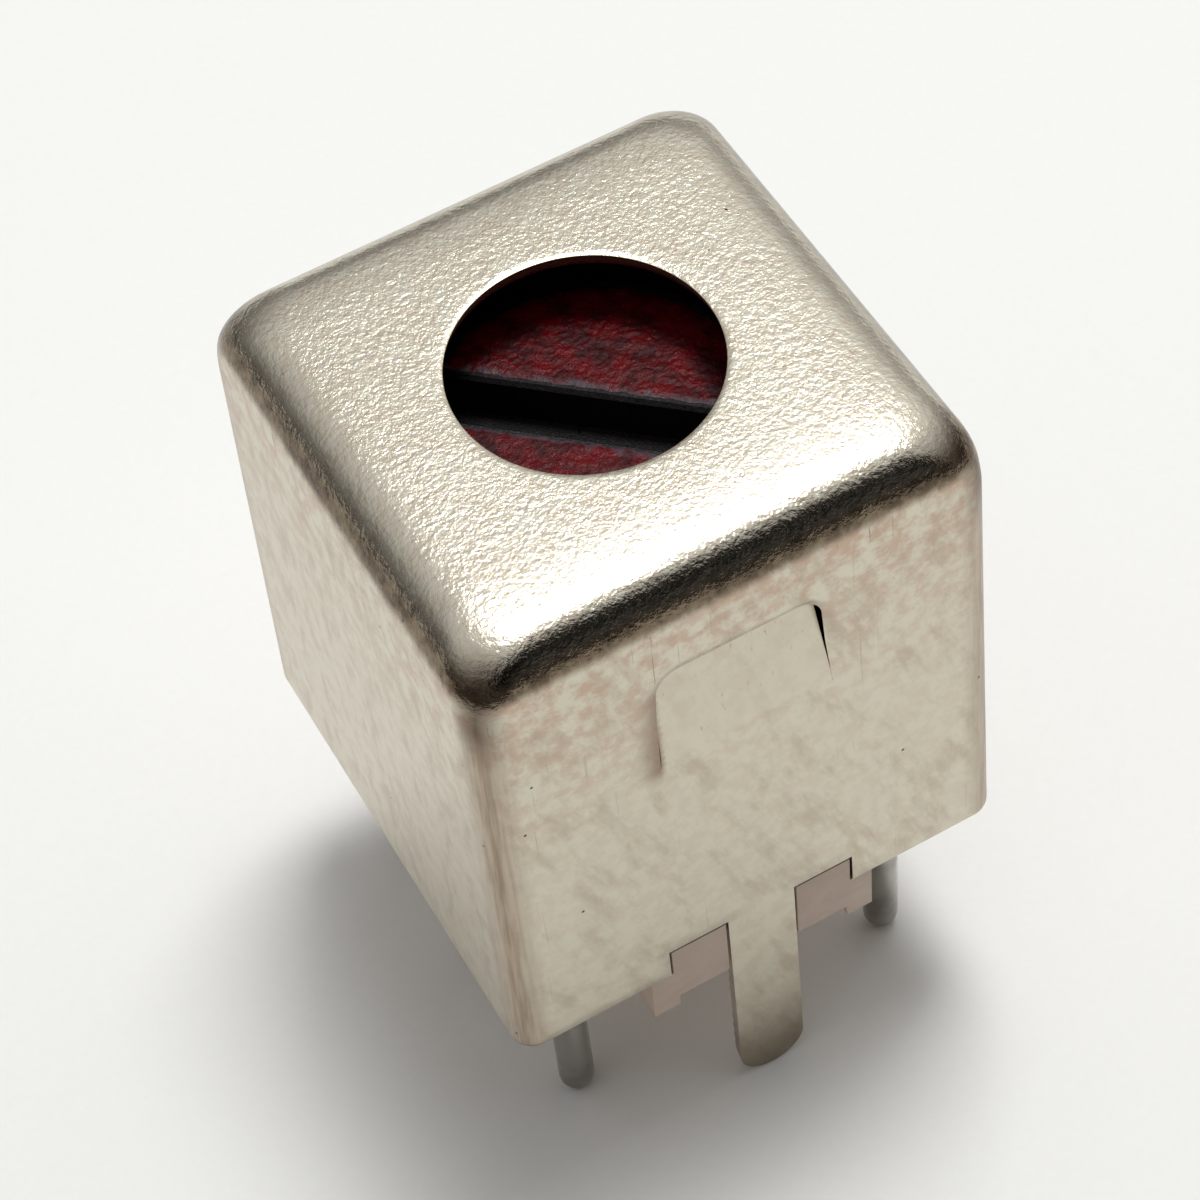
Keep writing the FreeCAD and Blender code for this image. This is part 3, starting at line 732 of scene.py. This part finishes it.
def plated_brass(tree):
    """Nickel-plated brass, deep drawn: a lid with a fine orange-peel grain, on walls that the die has ironed
    smooth. The eye sees them warm and satin, clouded where the plating is uneven, browned and scored along
    the upright corners, with a few dark pits. The lid is painted lighter than the walls as a painted
    highlight, the top's round darker as painted shade that deepens the dark reflection along it, and beside
    each locking panel's left cut the wall carries a painted brown shade."""
    where = add(tree, "TexCoord", out="Object")
    height = add(tree, "SeparateXYZ", {"Vector": where}, out="Z")
    on_top = add(tree, "MapRange", {"Value": height, "From Min": can_top - 0.95 * mm,
                                    "From Max": can_top - 0.68 * mm}, **smooth_step)
    lid = add(tree, "MapRange", {"Value": height, "From Min": can_top - 0.55 * mm,
                                 "From Max": can_top - 0.06 * mm}, **smooth_step)
    upper = add(tree, "MapRange", {"Value": height, "From Min": can_top - 5.5 * mm,
                                   "From Max": can_top - 1.2 * mm, "To Min": 0.3})

    # Soft patches of pinkish brown on greenish grey, a third of a millimetre across and stronger higher up,
    # over fainter streaks that lean as the sheet flowed. The pressed panels stayed cleaner.
    patches = add(tree, "TexNoise", {"Vector": where, "Scale": 1 / (0.36 * mm), "Detail": 6.0,
                                     "Roughness": 0.66})
    patches = add(tree, "MapRange", {"Value": patches, "From Min": 0.38, "From Max": 0.64}, **smooth_step)
    slanted = add(tree, "Mapping", {"Vector": where, "Rotation": (0.0, math.radians(-21), 0.0),
                                    "Scale": (1.0, 1.0, 3.4)}, vector_type="TEXTURE")
    streak = add(tree, "TexNoise", {"Vector": slanted, "Scale": 1 / (0.4 * mm), "Detail": 5.0,
                                    "Roughness": 0.6})
    streak = add(tree, "MapRange", {"Value": streak, "From Min": 0.46, "From Max": 0.7, "To Max": 0.45},
                 **smooth_step)
    pressed = add(tree, "Attribute", out="Fac", attribute_name="pressed")
    kept_clean = add(tree, "MapRange", {"Value": pressed, "To Min": 1.0, "To Max": 0.35})
    flushed = add(tree, "Math", {0: patches, 1: upper}, operation="MULTIPLY")
    flushed = add(tree, "Math", {0: flushed, 1: kept_clean}, operation="MULTIPLY")
    streak = add(tree, "Math", {0: streak, 1: kept_clean}, operation="MULTIPLY")
    wall = add(tree, "Mix", {"Factor": flushed, "A": colour("#D2CCBA"), "B": colour("#C0A996")},
               **in_colour)
    wall = add(tree, "Mix", {"Factor": streak, "A": wall, "B": colour("#A99883")}, **in_colour)
    # Painted light: the lid gets a lighter copy of the plating as a painted highlight, and the top's round a
    # darker copy as painted shade that deepens the dark reflection along it.
    bright = add(tree, "Mix", {"Factor": patches, "A": colour("#E3DDCB"), "B": colour("#DDD2BF")},
                 **in_colour)
    dulled = add(tree, "Mix", {"Factor": patches, "A": colour("#857663"), "B": colour("#5C5043")},
                 **in_colour)
    painted_lid_and_round = add(tree, "Mix", {"Factor": lid, "A": dulled, "B": bright}, **in_colour)
    shade = add(tree, "Mix", {"Factor": on_top, "A": wall, "B": painted_lid_and_round}, **in_colour)

    # Brown burnish with score lines along the draw, and the corners darker brown higher up, towards the top's
    # round.
    drawn_out = add(tree, "Mapping", {"Vector": where, "Scale": (1.0, 1.0, 0.04)})
    score = add(tree, "TexNoise", {"Vector": drawn_out, "Scale": 1 / (0.07 * mm), "Detail": 3.0})
    rubbed = add(tree, "Attribute", out="Fac", attribute_name="burnish")
    lined = add(tree, "MapRange", {"Value": score, "From Min": 0.3, "From Max": 0.7}, **smooth_step)
    brown = add(tree, "Mix", {"Factor": lined, "A": colour("#8A7764"), "B": colour("#AD9B88")}, **in_colour)
    darker_up_corner = add(tree, "MapRange", {"Value": height, "From Min": can_top - 2.6 * mm,
                                      "From Max": can_top - 1.1 * mm, "To Max": 0.9}, **smooth_step)
    brown = add(tree, "Mix", {"Factor": darker_up_corner, "A": brown, "B": colour("#473629")}, **in_colour)
    shade = add(tree, "Mix", {"Factor": rubbed, "A": shade, "B": brown}, **in_colour)
    # Painted shade: a soft brown on the wall beside each locking panel's left cut.
    painted_panel_shade = add(tree, "Attribute", out="Fac", attribute_name="painted_panel_shade")
    shade = add(tree, "Mix", {"Factor": painted_panel_shade, "A": shade, "B": colour("#8A735F")}, **in_colour)
    cut = add(tree, "Attribute", out="Fac", attribute_name="cut")
    shade = add(tree, "Mix", {"Factor": cut, "A": shade, "B": colour("#6F6048")}, **in_colour)

    # A few hairline draw scratches high on the walls, and the lug darker brown towards its tip.
    scratch = add(tree, "Mapping", {"Vector": where, "Scale": (1.0, 1.0, 0.015)})
    scratch = add(tree, "TexNoise", {"Vector": scratch, "Scale": 1 / (0.05 * mm), "Detail": 1.0})
    scratch = add(tree, "MapRange", {"Value": scratch, "From Min": 0.71, "From Max": 0.8, "To Max": 0.6})
    scratch = add(tree, "Math", {0: scratch, 1: upper}, operation="MULTIPLY")
    shade = add(tree, "Mix", {"Factor": scratch, "A": shade, "B": colour("#7A6956")}, **in_colour)
    darker_to_lug_tip = add(tree, "MapRange", {"Value": height, "From Min": -1.2 * mm, "From Max": lug_tip,
                                     "To Max": 0.75}, **smooth_step)
    shade = add(tree, "Mix", {"Factor": darker_to_lug_tip, "A": shade, "B": colour("#7D6A54")}, **in_colour)

    # Pits: dark specks under a tenth of a millimetre across. They are few, because only some of the
    # pattern's cells hold one, and it shows only where it meets the surface.
    pits = add(tree, "TexVoronoi", {"Vector": where, "Scale": 1 / (0.8 * mm)}).node
    near = add(tree, "MapRange", {"Value": pits.outputs["Distance"], "From Min": 0.05, "From Max": 0.025})
    chosen = add(tree, "SeparateColor", {"Color": pits.outputs["Color"]}, out="Red")
    chosen = add(tree, "Math", {0: chosen, 1: 0.62}, operation="GREATER_THAN")
    pitted = add(tree, "Math", {0: near, 1: chosen}, operation="MULTIPLY")
    shade = add(tree, "Mix", {"Factor": pitted, "A": shade, "B": colour("#3A322A")}, **in_colour)

    grain = add(tree, "TexNoise", {"Vector": where, "Scale": 1 / (0.105 * mm), "Detail": 3.0,
                                   "Roughness": 0.6})
    strength = add(tree, "MapRange", {"Value": height, "From Min": can_top - 1.5 * mm,
                                      "From Max": can_top - 1.0 * mm, "To Min": 0.1})
    bump = add(tree, "Bump", {"Height": grain, "Distance": 0.0165 * mm, "Strength": strength})
    scored = add(tree, "Math", {0: rubbed, 1: 0.6}, operation="MULTIPLY")
    bump = add(tree, "Bump", {"Height": score, "Distance": 0.006 * mm, "Strength": scored, "Normal": bump})
    rough = add(tree, "MapRange", {"Value": on_top, "To Min": 0.32, "To Max": 0.1})
    satin = add(tree, "MapRange", {"Value": lid, "To Max": 0.13})
    rough = add(tree, "Math", {0: rough, 1: satin}, operation="ADD")
    torn = add(tree, "MapRange", {"Value": cut, "To Max": 0.4})
    rough = add(tree, "Math", {0: rough, 1: torn}, operation="ADD")
    return add(tree, "BsdfPrincipled", {"Base Color": shade, "Metallic": 1.0, "Roughness": rough,
                                        "Normal": bump})


def moulded(base, flow_mark, rough):
    """Moulded nylon: the mould's satin skin, with faint cloudy flow marks and a fine waviness."""
    def build(tree):
        where = add(tree, "TexCoord", out="Object")
        flow = add(tree, "TexNoise", {"Vector": where, "Scale": 1 / (0.7 * mm), "Detail": 6.0,
                                      "Distortion": 1.5})
        shade = add(tree, "Mix", {"Factor": flow, "A": colour(base), "B": colour(flow_mark)}, **in_colour)
        skin = add(tree, "TexNoise", {"Vector": where, "Scale": 1 / (0.06 * mm), "Detail": 3.0})
        bump = add(tree, "Bump", {"Height": skin, "Distance": 0.004 * mm})
        dulled = add(tree, "MapRange", {"Value": flow, "To Min": rough - 0.07, "To Max": rough + 0.1})
        return add(tree, "BsdfPrincipled", {"Base Color": shade, "Roughness": dulled, "IOR": 1.53,
                                            "Normal": bump})
    return build


def sintered(base, grain_tone, pore_tone, rough):
    """Sintered ferrite: a dark ceramic of tight grains that glint a little, with open pores."""
    def build(tree):
        where = add(tree, "TexCoord", out="Object")
        grains = add(tree, "TexVoronoi", {"Vector": where, "Scale": 1 / (0.045 * mm)}).node
        tone = add(tree, "SeparateColor", {"Color": grains.outputs["Color"]}, out="Green")
        shade = add(tree, "Mix", {"Factor": tone, "A": colour(base), "B": colour(grain_tone)}, **in_colour)
        pores = add(tree, "TexNoise", {"Vector": where, "Scale": 1 / (0.12 * mm), "Detail": 4.0})
        pores = add(tree, "MapRange", {"Value": pores, "From Min": 0.6, "From Max": 0.68})
        shade = add(tree, "Mix", {"Factor": pores, "A": shade, "B": colour(pore_tone)}, **in_colour)
        bump = add(tree, "Bump", {"Height": grains.outputs["Distance"], "Distance": 0.006 * mm})
        glint = add(tree, "MapRange", {"Value": tone, "To Min": rough + 0.15, "To Max": rough - 0.1})
        return add(tree, "BsdfPrincipled", {"Base Color": shade, "Roughness": glint, "IOR": 1.6,
                                            "Normal": bump, "Specular IOR Level": 0.14})
    return build


def worn_lacquer(tree):
    """Red colour lacquer dabbed on ground ferrite: dark and gritty, brushed in streaks, with wet-looking
    glints, and rubbed through along the slot, where the bare ceramic is painted a lighter grey-violet than
    the core's own ferrite, as a painted highlight on the slot's edges."""
    where = add(tree, "TexCoord", out="Object")
    depth = add(tree, "TexNoise", {"Vector": where, "Scale": 1 / (0.5 * mm), "Detail": 6.0,
                                   "Roughness": 0.65})
    depth = add(tree, "MapRange", {"Value": depth, "From Min": 0.36, "From Max": 0.66}, **smooth_step)
    shade = add(tree, "Mix", {"Factor": depth, "A": colour("#33060A"), "B": colour("#620B10")}, **in_colour)
    worn = add(tree, "Attribute", out="Fac", attribute_name="worn")
    chips = add(tree, "TexNoise", {"Vector": where, "Scale": 1 / (0.09 * mm), "Detail": 4.0,
                                   "Roughness": 0.7})
    chips = add(tree, "Math", {0: chips, 1: worn}, operation="ADD")
    # Real wear along the slot, with a painted highlight: the bare ferrite here is painted far lighter than
    # the core's own near-black ferrite.
    bare = add(tree, "MapRange", {"Value": chips, "From Min": 0.95, "From Max": 1.6}, **smooth_step)
    shade = add(tree, "Mix", {"Factor": bare, "A": shade, "B": colour("#4A3F45")}, **in_colour)
    grit = add(tree, "TexNoise", {"Vector": where, "Scale": 1 / (0.1 * mm), "Detail": 4.0, "Roughness": 0.65})
    bump = add(tree, "Bump", {"Height": grit, "Distance": 0.025 * mm})
    rough = add(tree, "MapRange", {"Value": depth, "To Min": 0.36, "To Max": 0.14})
    return add(tree, "BsdfPrincipled", {"Base Color": shade, "Roughness": rough, "IOR": 1.5, "Normal": bump,
                                        "Specular IOR Level": 0.13})


def silicone(tree):
    """Cut silicone rubber: milky, slightly translucent and dull, with dust on it."""
    where = add(tree, "TexCoord", out="Object")
    dust = add(tree, "TexNoise", {"Vector": where, "Scale": 1 / (0.1 * mm), "Detail": 5.0})
    shade = add(tree, "Mix", {"Factor": dust, "A": colour("#DCD8C8"), "B": colour("#C9C4B2")}, **in_colour)
    bump = add(tree, "Bump", {"Height": dust, "Distance": 0.005 * mm})
    return add(tree, "BsdfPrincipled", {"Base Color": shade, "Roughness": 0.6, "IOR": 1.41, "Normal": bump,
                                        "Subsurface Weight": 0.3, "Subsurface Scale": 0.4 * mm})


def cured_epoxy(tree):
    """Cast epoxy: a glossy amber fillet with small bubbles just under its skin."""
    where = add(tree, "TexCoord", out="Object")
    bubbles = add(tree, "TexVoronoi", {"Vector": where, "Scale": 1 / (0.12 * mm)}, out="Distance")
    bubbles = add(tree, "MapRange", {"Value": bubbles, "From Min": 0.12, "From Max": 0.3})
    shade = add(tree, "Mix", {"Factor": bubbles, "A": colour("#E2C48A"), "B": colour("#A87732")},
                **in_colour)
    bump = add(tree, "Bump", {"Height": bubbles, "Distance": 0.006 * mm})
    return add(tree, "BsdfPrincipled", {"Base Color": shade, "Roughness": 0.14, "IOR": 1.55, "Normal": bump,
                                        "Coat Weight": 0.4})


def enamelled(copper, deep):
    """Enamelled copper wire: bright drawn metal under a clear varnish that pools darker in places."""
    def build(tree):
        where = add(tree, "TexCoord", out="Object")
        pooled = add(tree, "TexNoise", {"Vector": where, "Scale": 1 / (0.25 * mm), "Detail": 4.0})
        shade = add(tree, "Mix", {"Factor": pooled, "A": colour(copper), "B": colour(deep)}, **in_colour)
        bump = add(tree, "Bump", {"Height": pooled, "Distance": 0.004 * mm})
        return add(tree, "BsdfPrincipled", {"Base Color": shade, "Metallic": 1.0, "Roughness": 0.28,
                                            "Normal": bump, "Coat Weight": 1.0, "Coat Roughness": 0.08})
    return build


def tinned_wire(tree):
    """Hot-tinned pin wire: bright, with draw marks along it, dull patches and grey handling stains."""
    where = add(tree, "TexCoord", out="Object")
    drawn_out = add(tree, "Mapping", {"Vector": where, "Scale": (1.0, 1.0, 0.08)})
    marks = add(tree, "TexNoise", {"Vector": drawn_out, "Scale": 1 / (0.07 * mm), "Detail": 4.0})
    stains = add(tree, "TexNoise", {"Vector": where, "Scale": 1 / (1.1 * mm), "Detail": 4.0,
                                    "Roughness": 0.5})
    stains = add(tree, "MapRange", {"Value": stains, "From Min": 0.35, "From Max": 0.7}, **smooth_step)
    shade = add(tree, "Mix", {"Factor": stains, "A": colour("#ABA8A3"), "B": colour("#85807A")},
                **in_colour)
    bump = add(tree, "Bump", {"Height": marks, "Distance": 0.004 * mm})
    rough = add(tree, "MapRange", {"Value": stains, "To Min": 0.1, "To Max": 0.2})
    return add(tree, "BsdfPrincipled", {"Base Color": shade, "Metallic": 1.0, "Roughness": rough,
                                        "Normal": bump})


def tin_solder(tree):
    """Dipped tin solder: smooth and silvery, frosted in patches, with a brown trace of flux."""
    where = add(tree, "TexCoord", out="Object")
    frost = add(tree, "TexNoise", {"Vector": where, "Scale": 1 / (0.3 * mm), "Detail": 6.0, "Roughness": 0.7})
    frost = add(tree, "MapRange", {"Value": frost, "From Min": 0.4, "From Max": 0.62}, **smooth_step)
    shade = add(tree, "Mix", {"Factor": frost, "A": colour("#C9C7C2"), "B": colour("#9A948A")}, **in_colour)
    flux = add(tree, "TexNoise", {"Vector": where, "Scale": 1 / (0.8 * mm), "Detail": 3.0})
    flux = add(tree, "MapRange", {"Value": flux, "From Min": 0.54, "From Max": 0.66, "To Max": 0.8})
    shade = add(tree, "Mix", {"Factor": flux, "A": shade, "B": colour("#6E5236")}, **in_colour)
    bump = add(tree, "Bump", {"Height": frost, "Distance": 0.01 * mm})
    rough = add(tree, "MapRange", {"Value": frost, "To Min": 0.15, "To Max": 0.4})
    return add(tree, "BsdfPrincipled", {"Base Color": shade, "Metallic": 1.0, "Roughness": rough,
                                        "Normal": bump})


def matt_board(tree):
    """Coated white board: matt, with only a trace of texture."""
    where = add(tree, "TexCoord", out="Object")
    tooth = add(tree, "TexNoise", {"Vector": where, "Scale": 1 / (0.15 * mm), "Detail": 3.0})
    shade = add(tree, "Mix", {"Factor": tooth, "A": colour("#EFEFEC"), "B": colour("#F3F3F0")}, **in_colour)
    bump = add(tree, "Bump", {"Height": tooth, "Distance": 0.004 * mm})
    return add(tree, "BsdfPrincipled", {"Base Color": shade, "Roughness": 0.9, "Normal": bump})


finishes = {
    "can_plate": material("nickel-plated drawn brass", plated_brass),
    "base_moulding": material("moulded tan nylon", moulded("#C9B5A6", "#B79F8C", 0.45)),
    "frame_moulding": material("moulded black nylon", moulded("#0B0A0A", "#131212", 0.5)),
    # The core's ground ferrite is painted near black, far darker than the drum's, as painted shade in its
    # slot and inside the hole.
    "ferrite": material("ground ferrite", sintered("#0D0B0C", "#211C1F", "#060505", 0.45)),
    "drum_ferrite": material("tumbled ferrite", sintered("#2C2B2E", "#403E44", "#1A191B", 0.4)),
    "red_lacquer": material("brushed red lacquer", worn_lacquer),
    "brake_ring": material("cut silicone rubber", silicone),
    "adhesive": material("cast epoxy", cured_epoxy),
    "magnet_wire": material("enamelled copper", enamelled("#C9763C", "#9C4F22")),
    "magnet_wire_red": material("red-enamelled copper", enamelled("#A8472A", "#742112")),
    "tinned_pin": material("tinned drawn wire", tinned_wire),
    "solder": material("dipped tin solder", tin_solder),
}

# ---- pieces ---------------------------------------------------------------------------------------
piece("can", can_mesh(), "housing", finishes["can_plate"], "can_plate", "shield_can")
piece("base", softened("terminal_base", mould_edge), "housing", finishes["base_moulding"], "base_moulding",
      "terminal_base")
piece("lacquer", lacquer_mesh(), "screw_core", finishes["red_lacquer"], "red_lacquer", "core_lacquer")
for number in range(1, 6):
    piece(f"pin_{number}_drawn", pin_mesh(f"pin_{number}"), "housing", finishes["tinned_pin"], "tinned_pin",
          f"pin_{number}")
    piece(f"solder_bead_{number}", solder_mesh(f"solder_joint_{number}"), "housing", finishes["solder"],
          "solder", f"solder_joint_{number}")
outer_turns = winding_tree()
windings = (("primary_winding", shaft_radius, primary_radius, "magnet_wire"),
            ("secondary_winding", primary_radius, secondary_radius, "magnet_wire_red"))
for node, inner, outer, finish in windings:
    turned = winding_mesh(outer_turns, node, inner, outer, finishes[finish])
    piece(node + "_turns", turned, "housing", finishes[finish], finish, node)
slot_of = {part["node"]: part["material_slot"] for part in frame["record"]["subparts"]}
for node, made in frame["nodes"].items():
    for holder in made.material_slots:
        holder.material = finishes[slot_of[node]]

# ---- floor, light and camera ----------------------------------------------------------------------
floor_reach = 1000 * mm
floor_mesh = bpy.data.meshes.new("floor")
corners = [(-floor_reach, -floor_reach), (floor_reach, -floor_reach), (floor_reach, floor_reach),
           (-floor_reach, floor_reach)]
floor_mesh.from_pydata([(x, y, lug_tip) for x, y in corners], [], [(0, 1, 2, 3)])
floor = scratch_object("floor", floor_mesh)
floor_mesh.materials.append(material("matt white board", matt_board))


def soft_box(name, towards, reach, width, depth, radiance):
    """Flat soft light at a direction and distance from the can's middle, facing it."""
    data = bpy.data.lights.new(name, "AREA")
    data.shape = "RECTANGLE"
    data.size = width
    data.size_y = depth
    data.energy = radiance * math.pi * width * depth
    made = bpy.data.objects.new(name, data)
    scene.collection.objects.link(made)
    direction = Vector(towards).normalized()
    made.location = Vector((0, 0, can_top / 2)) + direction * reach
    made.rotation_mode = "QUATERNION"
    made.rotation_quaternion = direction.to_track_quat("Z", "Y")


soft_box("overhead", towards=(0.2, 0.17, 1.0), reach=400 * mm, width=120 * mm, depth=120 * mm, radiance=24.0)

# The room that the metal mirrors. Each part has its direction, the angle past which it is gone and the
# angle within which it is full, both in degrees, and how much light it adds or takes.
room_level = 0.05
ceiling = ((0, 0, 1), 82, 34, 0.54)
back_glow = ((0.75, 0.45, 0.5), 40, 5, 0.25)
dark_front = ((0.1, -0.88, 0.46), 41, 33, 0.99)
dim_side = ((-0.5, -0.8, 0.4), 46, 26, 0.55)
low_grey = ((0, 0, -1), 132, 100, 0.13)


def studio_sky(tree):
    """Dim room with a pale ceiling round the overhead light and a glow at the back on the right, dark in
    front, dim beside that and grey low down."""
    direction = add(tree, "TexCoord", out="Generated")

    def towards(aim, outer, inner, share):
        """A share within the inner angle of a direction and nothing past the outer one, in degrees."""
        dot = add(tree, "VectorMath", {0: direction, 1: Vector(aim).normalized()[:]}, out="Value",
                  operation="DOT_PRODUCT")
        return add(tree, "MapRange", {"Value": dot, "From Min": math.cos(math.radians(outer)),
                                      "From Max": math.cos(math.radians(inner)), "To Max": share},
                   **smooth_step)

    level = add(tree, "Math", {0: towards(*ceiling), 1: room_level}, operation="ADD")
    level = add(tree, "Math", {0: level, 1: towards(*back_glow)}, operation="ADD")
    for shaded in (dark_front, dim_side):
        open_share = add(tree, "Math", {0: 1.0, 1: towards(*shaded)}, operation="SUBTRACT")
        level = add(tree, "Math", {0: level, 1: open_share}, operation="MULTIPLY")
    level = add(tree, "Math", {0: level, 1: towards(*low_grey)}, operation="ADD")
    return add(tree, "Background", {"Color": colour("#FFFFFF"), "Strength": level})


world = bpy.data.worlds.new("studio")
world.use_nodes = True
world.node_tree.nodes.clear()
add(world.node_tree, "OutputWorld", {"Surface": studio_sky(world.node_tree)})
scene.world = world
scene.view_settings.view_transform = "Standard"

# Camera fitted to the can's outline, in pixels of the 1200 x 1200 photograph.
view_azimuth = math.radians(-23.71)
view_elevation = math.radians(53.72)
view_roll = math.radians(-6.95)
view_distance = 61.25 * mm
view_middle = Vector((0, 0, 6.773 * mm))
focal_pixels = 3406.3
frame_pixels = 1200
middle_pixel = (607.9, 561.4)
sensor_width = 36.0

back = Vector((math.sin(view_azimuth) * math.cos(view_elevation),
               -math.cos(view_azimuth) * math.cos(view_elevation), math.sin(view_elevation)))
level_right = Vector((math.cos(view_azimuth), math.sin(view_azimuth), 0))
level_up = back.cross(level_right)
right = math.cos(view_roll) * level_right + math.sin(view_roll) * level_up
up = -math.sin(view_roll) * level_right + math.cos(view_roll) * level_up
aside = (middle_pixel[0] - frame_pixels / 2) * view_distance / focal_pixels
above = -(middle_pixel[1] - frame_pixels / 2) * view_distance / focal_pixels
camera_data = bpy.data.cameras.new("camera")
camera_data.sensor_width = sensor_width
camera_data.lens = focal_pixels / frame_pixels * sensor_width
camera_data.clip_start = 1 * mm
camera_data.clip_end = 10 * floor_reach
camera = bpy.data.objects.new("camera", camera_data)
scene.collection.objects.link(camera)
camera.matrix_world = Matrix.Translation(view_middle + back * view_distance - right * aside - up * above) \
    @ Matrix((right, up, back)).transposed().to_4x4()
scene.camera = camera
